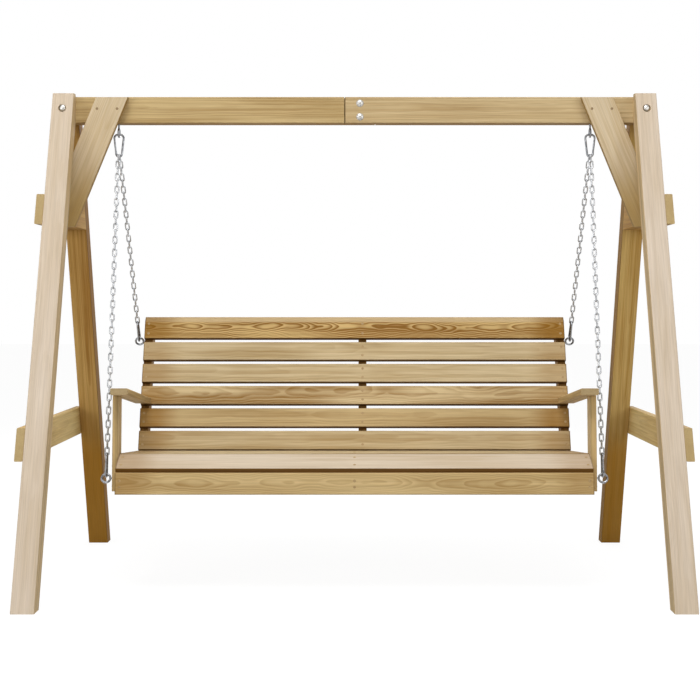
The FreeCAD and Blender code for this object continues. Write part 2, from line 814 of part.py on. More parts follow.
def hook_lines():
    """The points of a snap hook's centreline, in its own X Z plane, narrow bow at the origin."""
    narrow = S.hook_narrow_radius.value
    wide = S.hook_wide_radius.value
    bar = S.hook_bar.value / 2
    narrow_centre = Vector(0, 0, narrow)
    wide_centre = Vector(bar, 0, S.hook_length.value - wide)
    rise = wide_centre - narrow_centre
    angle = math.atan2(rise.z, rise.x) - math.acos((wide - narrow) / rise.Length)
    outward = Vector(math.cos(angle), 0, math.sin(angle))
    low = narrow_centre + outward * narrow
    high = wide_centre + outward * wide
    upward = (high - low).normalize()
    corner = (outward + Vector(0, 0, 1)).normalize()
    pin = low + upward * S.gate_pin_setback.value
    return SimpleNamespace(low=low, high=high, up=upward, pin=pin, shoulder=wide_centre + corner * wide,
                           bar_end=Vector(bar, 0, S.hook_length.value))


def mirrored(point):
    return Vector(-point.x, 0, point.z)


def snap_hook():
    """A pear-shaped hook with a forked end for its gate on the +X side."""
    lines = hook_lines()
    wire = S.hook_wire.value / 2
    fork_end = lines.pin + lines.up * S.fork_reach.value
    path = Part.Wire([
        Part.LineSegment(fork_end, lines.low).toShape(),
        Part.Arc(lines.low, Vector(0, 0, 0), mirrored(lines.low)).toShape(),
        Part.LineSegment(mirrored(lines.low), mirrored(lines.high)).toShape(),
        Part.Arc(mirrored(lines.high), mirrored(lines.shoulder), mirrored(lines.bar_end)).toShape(),
        Part.LineSegment(mirrored(lines.bar_end), lines.bar_end).toShape(),
        Part.Arc(lines.bar_end, lines.shoulder, lines.high).toShape(),
    ])
    section = Part.Wire([Part.Circle(fork_end, lines.up, wire).toShape()])
    body = path.makePipeShell([section], True, False)
    slot_width = S.gate_slot.value
    slot_length = S.fork_floor.value + S.fork_reach.value + wire
    slot = Part.makeBox(4 * wire, slot_width, slot_length, Vector(-2 * wire, -slot_width / 2, 0))
    slot_foot = lines.pin - lines.up * S.fork_floor.value
    slot = in_frame(slot, slot_foot, Vector(0, 1, 0).cross(lines.up), lines.up)
    return body.cut(slot).cut(pin_rod(S.gate_pin.value / 2, 4 * wire))


def pin_rod(radius, length):
    """A rod across the hook at its gate's pin."""
    return Part.makeCylinder(radius, length, hook_lines().pin - Vector(0, length / 2, 0), Vector(0, 1, 0))


def hook_gate():
    """The straight gate of a hook, with the tongue that turns on the pin."""
    lines = hook_lines()
    length = (lines.high - lines.pin).Length - S.gate_nose_gap.value
    start = S.gate_shoulder.value
    radius = S.gate_tongue_radius.value
    thickness = S.gate_tongue.value
    wire = S.gate_wire.value / 2
    rod = Part.makeCylinder(wire, length - start, Vector(0, 0, start))
    web = Part.makeBox(2 * radius, thickness, start + radius, Vector(-radius, -thickness / 2, 0))
    web = web.common(Part.makeCylinder(wire, start + radius))
    eye = Part.makeCylinder(radius, thickness, Vector(0, -thickness / 2, 0), Vector(0, 1, 0))
    gate = rod.fuse([web, eye]).removeSplitter()
    gate = in_frame(gate, lines.pin, Vector(0, 1, 0).cross(lines.up), lines.up)
    return gate.cut(pin_rod(S.gate_pin.value / 2 + S.pin_clearance.value, S.hook_wire.value))


def chain_link(length):
    """A welded link in the X Z plane, centred, with this inner length."""
    wire = S.chain_wire.value / 2
    bend = S.chain_inner_width.value / 2 + wire
    straight = length / 2 + wire - bend
    solids = []
    for way in (-1, 1):
        ring = Part.Circle(Vector(bend, 0, way * straight), Vector(0, 0, 1), wire)
        section = Part.Face(Part.Wire([ring.toShape()]))
        solids.append(section.revolve(Vector(0, 0, way * straight), Vector(0, -way, 0), 180))
        rod = Part.makeCylinder(wire, 2 * straight, Vector(way * bend, 0, -straight))
        solids.append(rod)
    return solids[0].fuse(solids[1:]).removeSplitter()


def make_chain(label, start, end, first_seat, last_seat):
    """Links from the bow at start to the bow at end, pitched evenly, alternate ones turned a quarter."""
    line = end - start
    run = Vector(line).normalize()
    wire = S.chain_wire.value
    gap = S.contact_gap.value
    total = line.Length + first_seat + last_seat
    pairs = max(1, round((total - wire - gap) / S.chain_pitch.value / 2))
    pitch = (total - wire - gap) / (2 * pairs)
    link = chain_link(pitch + gap)
    sideways = Vector(1, 0, 0)
    level = sideways - run * sideways.dot(run)
    level.normalize()
    upright = run.cross(level)
    first = start - run * (first_seat - (pitch + gap + wire) / 2)
    links = []
    for number in range(2 * pairs):
        across = upright if number % 2 == 0 else level
        links.append(in_frame(link, first + run * (pitch * number), across, run))
    group(label, links)


def make_hanging_gear():
    gap = S.contact_gap.value
    ring_inside = S.eye_radius.value - S.eye_wire.value / 2
    bar_offset = ring_inside - S.hook_wire.value / 2 - gap
    hook_length = S.hook_length.value
    link_seat = (S.hook_wire.value + S.chain_wire.value) / 2 + gap
    hook = snap_hook()
    gate = hook_gate()
    pin = pin_rod(S.gate_pin.value / 2, S.hook_wire.value)
    top_eye = eye_screw(S.top_eye_drop, S.top_eye_screw_length)
    side_eye = eye_screw(S.side_eye_drop, S.side_eye_screw_length)
    rear_eye_place = along(along(post_front, back_in, S.post_depth / 2), back_up, S.rear_eye_height)
    front_eye_place = along(arm_post_middle, seat_up, S.front_eye_height)
    ring_level = S.beam_underside.value - eye_reach(S.top_eye_drop)
    pivot_level = ring_level - bar_offset
    print("swing axis at Z", round(pivot_level, 4))
    hooks = []
    pins = []
    top_eyes = []
    seat_eyes = []

    def hang_hook(name, bow, across, upward):
        hooks.append(in_frame(hook, bow, across, upward))
        pins.append(in_frame(pin, bow, across, upward))
        group(f"{name}_hook_gate", [in_frame(gate, bow, across, upward)])
        turn = hooks[-1].Placement
        hinge = turn.multVec(hook_lines().pin)
        axis = turn.Rotation.multVec(Vector(0, -1, 0))
        print(name, "gate hinge at", [round(c, 4) for c in hinge], "axis", [round(c, 6) for c in axis])

    for side_name, side in SIDES.items():
        ring = Vector(side * (arm_outer + S.top_eye_outset).value, 0, ring_level)
        top_eyes.append(in_frame(top_eye, ring, Vector(0, 1, 0), Vector(0, 0, -1)))
        bow = Vector(ring.x, 0, pivot_level - hook_length)
        hang_hook(f"top_{side_name}", bow, Vector(side, 0, 0), Vector(0, 0, 1))
        lower_eyes = (
            ("front", front_eye_place, arm_outer, 1, -1),
            ("rear", rear_eye_place, bench_half, -1, 1),
        )
        for end, place, wood, shift, way in lower_eyes:
            centre = spot_at(side * (wood.value + eye_reach(S.side_eye_drop)), place)
            start = bow + Vector(side * shift * S.chain_spread.value, 0, 0)
            run = (centre - start).normalize()
            outward = Vector(side, 0, 0)
            level = (outward - run * outward.dot(run)).normalize()
            crosswise = run.cross(outward).normalize()
            seat_eyes.append(in_frame(side_eye, centre, outward.cross(crosswise), outward))
            low_bow = centre - run * (bar_offset + hook_length)
            gate_side = run.cross(level)
            if gate_side.y * way < 0:
                gate_side = -gate_side
            hang_hook(f"{end}_{side_name}", low_bow, gate_side, run)
            make_chain(f"{end}_chain_{side_name}", start, low_bow, S.chain_seat.value, link_seat)
    group("top_eye_screws", top_eyes)
    group("seat_eye_screws", seat_eyes)
    group("snap_hooks", hooks)
    group("gate_pins", pins)


make_legs()
make_beam()
make_side_boards()
make_braces()
make_frame_bolts()
make_frame_screws()
make_slats()
make_rails_and_posts()
make_arms()
make_bench_screws()
make_bench_bolts()
make_hanging_gear()
doc.recompute()

for item in doc.Objects:
    if {"Invalid", "Error"} & set(item.State):
        raise RuntimeError(f"{item.Label} failed: {item.State}")
for piece in pieces:
    if piece.Shape.isNull() or not piece.Shape.isValid():
        raise RuntimeError(f"{piece.Label} has no valid shape")
os.makedirs("parts", exist_ok=True)
for piece in pieces:
    piece.Shape.exportStep(f"parts/{piece.Label}.step")
print(len(pieces), "pieces written")
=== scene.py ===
# Looks of the garden swing seat: timber, zinc-plated steel, a pale floor, soft light and the camera.
# Metres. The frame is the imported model: +X right, +Y back, +Z up, origin on the ground under the beam.
import math

import bpy
from mathutils import Matrix, Vector


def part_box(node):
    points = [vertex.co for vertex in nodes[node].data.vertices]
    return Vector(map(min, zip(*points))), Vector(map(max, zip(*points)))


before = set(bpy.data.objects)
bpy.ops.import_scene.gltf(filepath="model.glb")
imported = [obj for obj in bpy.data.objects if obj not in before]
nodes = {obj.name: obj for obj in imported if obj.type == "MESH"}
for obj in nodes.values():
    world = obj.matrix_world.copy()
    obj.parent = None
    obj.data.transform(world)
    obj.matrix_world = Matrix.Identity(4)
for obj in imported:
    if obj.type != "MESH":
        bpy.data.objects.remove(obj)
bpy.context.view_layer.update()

# Angles of the boards, in degrees, as the model has them
LEG_LEAN = 23.24
BRACE_TILT = 22.2
SEAT_TILT = 4
FRONT_SLAT_TILT = 22
BACK_RECLINE = 24
ARM_SLOPE = 6.15

# The camera, fitted to the photograph: a long lens, level, just above the backrest.
# Its image is measured in pixels and its sensor in millimetres.
CAMERA_DISTANCE = 5.529
CAMERA_HEIGHT = 0.9009
IMAGE_WIDTH = 700
FOCAL_PIXELS = 1656
CENTRE_X = 354.5
HORIZON_Y = 302.2
SENSOR = 36


def srgb(red, green, blue):
    """A colour as the screen shows it, 0 to 255, as linear values."""
    linear = []
    for channel in (red, green, blue):
        share = channel / 255
        linear.append(share / 12.92 if share <= 0.04045 else ((share + 0.055) / 1.055) ** 2.4)
    return (*linear, 1.0)


def shaded(colour, factor):
    """A linear colour made darker or lighter."""
    return (*(channel * factor for channel in colour[:3]), 1.0)


def in_plane(angle):
    """A direction in the Y Z plane, this many degrees up from +Y."""
    return Vector((0, math.cos(math.radians(angle)), math.sin(math.radians(angle))))


ACROSS = Vector((1, 0, 0))
BACKWARD = Vector((0, 1, 0))
UPWARD = Vector((0, 0, 1))


class Shader:
    """A node tree with short ways to add and join its nodes."""

    def __init__(self, tree):
        self.tree = tree

    def add(self, kind, **settings):
        made = self.tree.nodes.new(kind)
        for name, value in settings.items():
            setattr(made, name, value)
        return made

    def put(self, socket, value):
        """Link a socket to another one, or set it to a number, vector or colour."""
        if isinstance(value, bpy.types.NodeSocket):
            self.tree.links.new(value, socket)
        elif value is not None:
            socket.default_value = value

    def math(self, operation, first, second=None, third=None):
        made = self.add("ShaderNodeMath", operation=operation)
        for socket, value in zip(made.inputs, (first, second, third)):
            self.put(socket, value)
        return made.outputs[0]

    def vector(self, operation, first, second=None):
        made = self.add("ShaderNodeVectorMath", operation=operation)
        for socket, value in zip(made.inputs, (first, second)):
            self.put(socket, value)
        return made.outputs["Value" if operation in ("LENGTH", "DOT_PRODUCT") else "Vector"]

    def noise(self, vector, scale, detail=3.0, roughness=0.5):
        made = self.add("ShaderNodeTexNoise")
        self.put(made.inputs["Vector"], vector)
        self.put(made.inputs["Scale"], scale)
        self.put(made.inputs["Detail"], detail)
        self.put(made.inputs["Roughness"], roughness)
        return made.outputs["Fac"]

    def span(self, value, low, high, new_low=0.0, new_high=1.0, smooth=True):
        """A value between low and high, spread over a new range and held to it."""
        made = self.add("ShaderNodeMapRange")
        made.interpolation_type = "SMOOTHSTEP" if smooth else "LINEAR"
        for socket, number in zip(made.inputs, (value, low, high, new_low, new_high)):
            self.put(socket, number)
        return made.outputs[0]

    def mix(self, share, first, second):
        """Two colours mixed. A mix node's colour sockets come after those for numbers and vectors."""
        made = self.add("ShaderNodeMix", data_type="RGBA")
        self.put(made.inputs[0], share)
        self.put(made.inputs[6], first)
        self.put(made.inputs[7], second)
        return made.outputs[2]

    def relief(self, height, strength, depth):
        """A normal that makes a surface look raised by a height."""
        made = self.add("ShaderNodeBump")
        made.inputs["Strength"].default_value = strength
        made.inputs["Distance"].default_value = depth
        self.put(made.inputs["Height"], height)
        return made.outputs[0]


def new_material(name):
    """A plain material, short ways to add to it, and its main shader."""
    material = bpy.data.materials.new(name)
    material.use_nodes = True
    return material, Shader(material.node_tree), material.node_tree.nodes["Principled BSDF"]


def dress(node, material):
    slots = nodes[node].data.materials
    slots.clear()
    slots.append(material)


# Timber: how often each noise changes along a board and across it, per metre
KNOT_CELLS = (3.0, 12.0, 12.0)
SLOW_WAVES = (1.1, 4.0, 4.0)
LOOPS = (3.6, 5.0, 5.0)
RIPPLES = (9.0, 30.0, 30.0)
FIBRES = (8.0, 520.0, 520.0)
STREAKS = (1.3, 75.0, 75.0)
PATCHES = (2.0, 9.0, 9.0)
SEED_STEP = (5.3, 3.1, 1.7)

# Knots: the share of cells without one, and its reach, edge and core as shares of a cell
KNOTLESS = 0.93
KNOT_REACH = 0.40
KNOT_EDGE = 0.085
KNOT_CORE = 0.03
# How far a ripple and a knot push the rings aside
RIPPLE_PUSH = 0.0045
KNOT_PUSH = 0.012
# Where in a ring the late wood grows and ends
LATE_WOOD = (0.1, 0.86)
RING_END = (1.0, 0.88)


def grain_group():
    """Growth rings cut by a board, its fibres, streaks, broad patches and knots, from board coordinates."""
    tree = bpy.data.node_groups.new("board_grain", "ShaderNodeTree")
    for name in ("Place", "Pith"):
        tree.interface.new_socket(name, in_out="INPUT", socket_type="NodeSocketVector")
    for name in ("Seed", "Ring width", "Taper", "Wave", "Loop"):
        tree.interface.new_socket(name, in_out="INPUT", socket_type="NodeSocketFloat")
    for name in ("Ring", "Fibre", "Streak", "Patch", "Knot"):
        tree.interface.new_socket(name, in_out="OUTPUT", socket_type="NodeSocketFloat")
    s = Shader(tree)
    given = s.add("NodeGroupInput").outputs
    shift = s.add("ShaderNodeCombineXYZ")
    for socket, step in zip(shift.inputs, SEED_STEP):
        s.put(socket, s.math("MULTIPLY", given["Seed"], step))
    own = s.vector("ADD", given["Place"], shift.outputs[0])

    def spread_noise(scale, detail=2.0, roughness=0.5):
        return s.noise(s.vector("MULTIPLY", own, scale), 1.0, detail, roughness)

    def centred(noise):
        return s.math("SUBTRACT", noise, 0.5)

    # A few knots per board, where a sparse cell pattern comes close
    cells = s.add("ShaderNodeTexVoronoi", feature="F1")
    s.put(cells.inputs["Vector"], s.vector("MULTIPLY", own, KNOT_CELLS))
    s.put(cells.inputs["Scale"], 1.0)
    chosen = s.add("ShaderNodeSeparateColor")
    s.put(chosen.inputs[0], cells.outputs["Color"])
    rare = s.math("GREATER_THAN", chosen.outputs[0], KNOTLESS)
    near = s.math("MULTIPLY", s.span(cells.outputs["Distance"], KNOT_REACH, 0.0), rare)
    knot = s.math("MULTIPLY", s.span(cells.outputs["Distance"], KNOT_EDGE, KNOT_CORE), rare)

    # Distance from the pith, which runs slightly askew along the board, bent by waves, ripples and knots
    apart = s.vector("SUBTRACT", given["Place"], given["Pith"])
    apart = s.vector("MULTIPLY", apart, (0.0, 1.0, 1.0))
    place = s.add("ShaderNodeSeparateXYZ")
    s.put(place.inputs[0], given["Place"])
    radius = s.math("MULTIPLY_ADD", place.outputs[0], given["Taper"], s.vector("LENGTH", apart))
    for push, amount in ((centred(spread_noise(SLOW_WAVES)), given["Wave"]),
                         (centred(spread_noise(LOOPS, detail=3.0, roughness=0.45)), given["Loop"]),
                         (spread_noise(RIPPLES), RIPPLE_PUSH),
                         (near, KNOT_PUSH)):
        radius = s.math("MULTIPLY_ADD", push, amount, radius)
    turn = s.math("FRACT", s.math("DIVIDE", radius, given["Ring width"]))
    ring = s.math("MULTIPLY", s.span(turn, *LATE_WOOD), s.span(turn, *RING_END))

    result = s.add("NodeGroupOutput").inputs
    for name, value in (("Ring", ring), ("Knot", knot),
                        ("Fibre", spread_noise(FIBRES, detail=3.0)),
                        ("Streak", spread_noise(STREAKS, detail=3.0, roughness=0.55)),
                        ("Patch", spread_noise(PATCHES))):
        s.put(result[name], value)


class Timber:
    """How a kind of board looks: early and late wood, painted shade on its side faces and towards its ends,
    a darker colour towards its lower end, and how its figure shows.
    """

    def __init__(self, light, dark, edge, rings=0.35, streaks=0.5, patches=0.5, ring_width=0.0042,
                 taper=0.006, wave=0.016, loop=0.004, pith=(0.0, 0.01, 0.07), ends=0.0, sapwood=None,
                 foot=None):
        self.light, self.dark, self.edge = light, dark, edge
        self.rings, self.streaks, self.patches = rings, streaks, patches
        self.ends, self.sapwood, self.foot = ends, sapwood, foot
        self.grain = {"Pith": pith, "Ring width": ring_width, "Taper": taper, "Wave": wave, "Loop": loop}


# A darker colour towards the lower end: its colour, where it starts and is full in half lengths, and its
# share
BRACE_FOOT = (srgb(178, 146, 84), -0.2, 0.7, 0.8)
LEG_FOOT = (srgb(170, 119, 34), 0.3, 0.56, 0.85)

# Kinds of board, each with the colours of its early wood, its late wood and the painted shade on its side
# faces
PALE = Timber(srgb(215, 200, 182), srgb(190, 169, 138), srgb(204, 179, 136),
              rings=0.14, streaks=0.22, patches=0.3)
SEAT = Timber(srgb(212, 196, 174), srgb(188, 165, 132), srgb(106, 72, 18),
              rings=0.18, streaks=0.3, patches=0.35, ends=0.35)
TAN = Timber(srgb(209, 189, 150), srgb(170, 143, 97), srgb(104, 72, 26),
             rings=0.24, streaks=0.55, loop=0.014, ends=0.45)
DULL = Timber(srgb(200, 175, 128), srgb(158, 127, 78), srgb(100, 68, 24),
              rings=0.28, streaks=0.5, loop=0.014, ends=0.9)
STREAKED = Timber(srgb(213, 190, 146), srgb(146, 110, 58), srgb(96, 64, 22),
                  rings=0.32, streaks=0.4, patches=0.6, loop=0.035, ends=0.4)
DEEP = Timber(srgb(222, 191, 130), srgb(142, 99, 42), srgb(100, 66, 22),
              rings=0.8, streaks=0.35, ring_width=0.0048, taper=0.022, wave=0.030, loop=0.075,
              pith=(0.0, 0.004, 0.030), ends=0.7, sapwood=0.017)
FIGURED = Timber(srgb(216, 190, 139), srgb(170, 137, 84), srgb(180, 150, 100),
                 rings=0.4, streaks=0.3, ring_width=0.0046, taper=0.016, wave=0.026, loop=0.055,
                 pith=(0.0, 0.004, 0.034), ends=0.45)
OLIVE = Timber(srgb(205, 180, 131), srgb(164, 133, 83), srgb(170, 136, 82),
               rings=0.3, streaks=0.45, patches=0.35)
BEAM_PALE = Timber(srgb(215, 193, 150), srgb(177, 148, 102), srgb(170, 136, 82),
                   rings=0.3, streaks=0.45, patches=0.35, ends=0.1)
SHADED = Timber(srgb(166, 126, 70), srgb(118, 80, 34), srgb(118, 82, 38), rings=0.3, streaks=0.5)
# Painted light: the crossbars are lighter than the other boards, standing in for the light on their inner
# faces
CROSSBAR = Timber(srgb(236, 210, 146), srgb(206, 172, 106), srgb(196, 166, 112), rings=0.3, streaks=0.45)
BRACE = Timber(srgb(216, 198, 167), srgb(188, 161, 117), srgb(178, 146, 90),
               rings=0.2, streaks=0.3, foot=BRACE_FOOT)
BLOCK = Timber(srgb(210, 170, 100), srgb(164, 117, 54), srgb(178, 138, 76),
               rings=0.3, streaks=0.5, patches=0.6)
# Painted shade: the rear legs' looks are darker than the front legs', and the left rear leg's is a darker
# copy of the right one's
SHADED_AMBER = Timber(srgb(214, 175, 106), srgb(168, 122, 58), srgb(150, 108, 48),
               rings=0.3, streaks=0.5, patches=0.6, foot=LEG_FOOT)
AMBER = Timber(srgb(226, 195, 126), srgb(184, 142, 72), srgb(158, 118, 56),
               rings=0.3, streaks=0.5, patches=0.6, foot=LEG_FOOT)
ARM = Timber(srgb(222, 202, 162), srgb(184, 156, 110), srgb(192, 164, 114),
             rings=0.3, streaks=0.45, patches=0.35)

# Colours that all boards share
SAPWOOD = srgb(215, 189, 145)
# Painted shade: the brown that darkens the boards towards their ends, where they meet other parts
END_SHADE = srgb(142, 97, 20)
CUT_END = srgb(84, 58, 24)
END_GRAIN = srgb(163, 141, 102)
KNOT_WOOD = srgb(104, 66, 30)
FIBRE_LINE = srgb(84, 58, 26)

# How strongly those colours show
SAPWOOD_SHARE = 0.8
CUT_SHARE = 0.6
END_GRAIN_SHARE = 0.8
# The share of the painted shade on faces that look sideways
SIDE_SHADE_SHARE = 0.95
KNOT_SHARE = 0.75
FIBRE_SHARE = 0.16

# The width over which the sapwood fades, and how far the painted end shade and the cut's dark line reach
# from an end
SAPWOOD_FADE = 0.006
END_SHADE_REACH = 0.15
END_SHADE_FULL = 0.05
CUT_REACH = 0.004
CUT_FULL = 0.001

# The part of each noise that shows as a change of colour, and the range of a change either way
STREAK_RANGE = (0.36, 0.66)
PATCH_RANGE = (0.34, 0.68)
BLOTCH_RANGE = (0.35, 0.55)
FIBRE_RANGE = (0.62, 0.36)
FIGURE_RANGE = (-0.25, 0.75)
EITHER_WAY = (-0.5, 0.5)
# How squarely a face has to look along the board, or sideways, to count as an end or an edge
FACING_RANGE = (0.6, 0.92)
# The painted end shade's share in pale and in dark blotches, and the painted side shade's brightness
# between and in streaks
BLOTCH_SHARES = (0.75, 1.0)
SIDE_SHADE_LIGHT = 1.2
SIDE_SHADE_DARK = 0.72

# The surface: roughness of early and late wood, gloss, and the relief of rings and fibres
TIMBER_ROUGHNESS = (0.7, 0.58)
TIMBER_GLOSS = 0.1
RELIEF_STRENGTH = 0.3
RELIEF_DEPTH = 0.0006
RING_RELIEF = 0.4


def board_place(s, node, along, wide):
    """Coordinates along and across a board, from its middle, and half its length."""
    low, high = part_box(node)
    turn = Matrix((along, wide, along.cross(wide)))
    mapping = s.add("ShaderNodeMapping", vector_type="POINT")
    s.put(mapping.inputs["Vector"], s.add("ShaderNodeTexCoord").outputs["Object"])
    mapping.inputs["Rotation"].default_value = turn.to_euler()
    mapping.inputs["Location"].default_value = -(turn @ ((low + high) / 2))
    half = sum(abs(part) * size for part, size in zip(along, high - low)) / 2
    return mapping.outputs[0], half


def board_grain(s, place, look, seed):
    """The rings, fibres, streaks, patches and knots of one board."""
    grain = s.add("ShaderNodeGroup", node_tree=bpy.data.node_groups["board_grain"])
    s.put(grain.inputs["Place"], place)
    grain.inputs["Seed"].default_value = seed
    for name, value in look.grain.items():
        grain.inputs[name].default_value = value
    return grain.outputs


def figured(s, grain, look):
    """Early to late wood, where the rings, streaks and broad patches of a board show."""
    figure = s.math("MULTIPLY", grain["Ring"], look.rings)
    streak = s.span(grain["Streak"], *STREAK_RANGE, *EITHER_WAY)
    figure = s.math("MULTIPLY_ADD", streak, look.streaks, figure)
    patch = s.span(grain["Patch"], *PATCH_RANGE, *EITHER_WAY)
    figure = s.math("MULTIPLY_ADD", patch, look.patches, figure)
    return s.mix(s.span(figure, *FIGURE_RANGE, smooth=False), look.light, look.dark)


def sapwood_foot_and_end_shade(s, colour, place, half, grain, look):
    """Sapwood along one edge, a darker colour towards the lower end, painted shade at both ends, and a dark
    line at each cut.
    """
    own = s.add("ShaderNodeSeparateXYZ")
    s.put(own.inputs[0], place)
    lengthwise, crosswise = own.outputs[0], own.outputs[1]
    if look.sapwood:
        band = s.span(crosswise, look.sapwood, look.sapwood + SAPWOOD_FADE, 0.0, SAPWOOD_SHARE)
        colour = s.mix(band, colour, SAPWOOD)
    if look.foot:
        tone, start, full, share = look.foot
        colour = s.mix(s.span(lengthwise, start * half, full * half, 0.0, share), colour, tone)
    # Painted shade: darker brown towards both ends, in blotches
    if look.ends:
        outward = s.math("ABSOLUTE", lengthwise)
        near_end = s.span(outward, half - END_SHADE_REACH, half - END_SHADE_FULL, 0.0, look.ends)
        blotch = s.span(grain["Patch"], *BLOTCH_RANGE, *BLOTCH_SHARES)
        colour = s.mix(s.math("MULTIPLY", near_end, blotch), colour, END_SHADE)
        cut = s.span(outward, half - CUT_REACH, half - CUT_FULL, 0.0, CUT_SHARE)
        colour = s.mix(cut, colour, CUT_END)
    return colour


def side_shade_and_end_grain(s, colour, along, wide, grain, look):
    """Painted shade on the faces that look sideways, and the end grain on the faces that look along the
    board.
    """
    normal = s.add("ShaderNodeTexCoord").outputs["Normal"]
    streak = s.span(grain["Streak"], *STREAK_RANGE)
    edge = s.mix(streak, shaded(look.edge, SIDE_SHADE_LIGHT), shaded(look.edge, SIDE_SHADE_DARK))
    for direction, tone, share in ((wide, edge, SIDE_SHADE_SHARE), (along, END_GRAIN, END_GRAIN_SHARE)):
        facing = s.math("ABSOLUTE", s.vector("DOT_PRODUCT", normal, direction))
        colour = s.mix(s.span(facing, *FACING_RANGE, 0.0, share), colour, tone)
    return colour


def timber(node, along, wide, look, seed):
    """Planed, treated softwood for one board that runs along one direction, wide in another."""
    material, s, shader = new_material(f"timber_{node}")
    place, half = board_place(s, node, along, wide)
    grain = board_grain(s, place, look, seed)
    colour = figured(s, grain, look)
    colour = sapwood_foot_and_end_shade(s, colour, place, half, grain, look)
    colour = s.mix(s.math("MULTIPLY", grain["Knot"], KNOT_SHARE), colour, KNOT_WOOD)
    colour = side_shade_and_end_grain(s, colour, along, wide, grain, look)
    fibre = s.span(grain["Fibre"], *FIBRE_RANGE, 0.0, FIBRE_SHARE, smooth=False)
    s.put(shader.inputs["Base Color"], s.mix(fibre, colour, FIBRE_LINE))
    roughness = s.span(grain["Ring"], 0.0, 1.0, *TIMBER_ROUGHNESS, smooth=False)
    s.put(shader.inputs["Roughness"], roughness)
    shader.inputs["Specular IOR Level"].default_value = TIMBER_GLOSS
    height = s.math("MULTIPLY_ADD", grain["Ring"], RING_RELIEF, grain["Fibre"])
    s.put(shader.inputs["Normal"], s.relief(height, RELIEF_STRENGTH, RELIEF_DEPTH))
    dress(node, material)


def dress_stand():
    slant = math.radians(BRACE_TILT)
    for side, sign in (("left", -1), ("right", 1)):
        rear_look = AMBER if side == "right" else SHADED_AMBER
        beam_look = BEAM_PALE if side == "right" else OLIVE
        timber(f"front_leg_{side}", in_plane(90 - LEG_LEAN), ACROSS, PALE, seed=2 + sign)
        timber(f"rear_leg_{side}", -in_plane(90 + LEG_LEAN), ACROSS, rear_look, seed=5 + sign)
        timber(f"upper_crossbar_{side}", BACKWARD, UPWARD, CROSSBAR, seed=8 + sign)
        timber(f"lower_crossbar_{side}", BACKWARD, UPWARD, CROSSBAR, seed=11 + sign)
        timber(f"spacer_block_{side}", BACKWARD, UPWARD, BLOCK, seed=14 + sign)
        down = Vector((sign * math.sin(slant), 0, -math.cos(slant)))
        flat = Vector((math.cos(slant), 0, sign * math.sin(slant)))
        timber(f"beam_brace_{side}", down, flat, BRACE, seed=17 + sign)
        timber(f"beam_{side}_half", ACROSS, UPWARD, beam_look, seed=20 + sign)


def dress_bench():
    seat = in_plane(-SEAT_TILT)
    seat_normal = in_plane(90 - SEAT_TILT)
    recline = in_plane(90 - BACK_RECLINE)
    for number in range(1, 5):
        timber(f"seat_slat_{number}", ACROSS, seat, TAN, seed=30 + number)
    timber("front_seat_slat", ACROSS, in_plane(FRONT_SLAT_TILT), SEAT, seed=36)
    timber("front_apron", ACROSS, UPWARD, FIGURED, seed=37)
    for number, look in enumerate((TAN, DULL, STREAKED, TAN, TAN), start=1):
        timber(f"back_slat_{number}", ACROSS, recline, look, seed=40 + number)
    timber("top_back_slat", ACROSS, recline, DEEP, seed=47)
    for number, name in enumerate(("left", "centre", "right")):
        timber(f"seat_rail_{name}", seat, seat_normal, OLIVE, seed=50 + number)
        timber(f"back_post_{name}", recline, in_plane(-BACK_RECLINE), SHADED, seed=54 + number)
    for number, side in enumerate(("left", "right")):
        timber(f"arm_post_{side}", seat_normal, seat, ARM, seed=58 + number)
        timber(f"armrest_{side}", in_plane(-ARM_SLOPE), ACROSS, ARM, seed=61 + number)


# Steel: how often its bloom and its scuffs change, per metre, and how they show
BLOOM_SCALE = 160
SCUFF_SCALE = 900
BLOOM_RANGE = (0.35, 0.68)
SCUFF_RANGE = (0.3, 0.7)
SCUFF_SMOOTHER = 0.08
SCUFF_ROUGHER = 0.1
SCUFF_STRENGTH = 0.12
SCUFF_DEPTH = 0.0003


def steel(name, colour, dull, roughness, metallic=1.0):
    """Zinc-plated or coated steel: a dull bloom and small scuffs on a bright skin."""
    material, s, shader = new_material(name)
    place = s.add("ShaderNodeTexCoord").outputs["Object"]
    bloom = s.span(s.noise(place, BLOOM_SCALE, detail=4.0), *BLOOM_RANGE)
    scuff = s.noise(place, SCUFF_SCALE)
    s.put(shader.inputs["Base Color"], s.mix(bloom, colour, dull))
    shader.inputs["Metallic"].default_value = metallic
    smoothest, roughest = roughness - SCUFF_SMOOTHER, roughness + SCUFF_ROUGHER
    s.put(shader.inputs["Roughness"], s.span(scuff, *SCUFF_RANGE, smoothest, roughest, smooth=False))
    s.put(shader.inputs["Normal"], s.relief(scuff, SCUFF_STRENGTH, SCUFF_DEPTH))
    return material


def dress_steel():
    chain = steel("chain_zinc", srgb(204, 206, 209), srgb(158, 160, 163), roughness=0.34)
    hook = steel("hook_zinc", srgb(172, 174, 178), srgb(118, 120, 124), roughness=0.34)
    bright = steel("bolt_zinc", srgb(206, 203, 197), srgb(158, 156, 152), roughness=0.36)
    coated = steel("screw_coat", srgb(176, 148, 102), srgb(156, 126, 80), roughness=0.55, metallic=0.0)
    dark_coated = steel("frame_screw_coat", srgb(150, 124, 90), srgb(128, 104, 72),
                        roughness=0.5, metallic=0.0)
    for node in nodes:
        if "chain" in node:
            dress(node, chain)
        elif "hook" in node or node == "gate_pins" or node.endswith("_eye_screws"):
            dress(node, hook)
        elif node in ("seat_screws", "back_slat_screws"):
            dress(node, coated)
        elif node == "frame_screws":
            dress(node, dark_coated)
        elif node.endswith(("bolts", "nuts", "washers")):
            dress(node, bright)


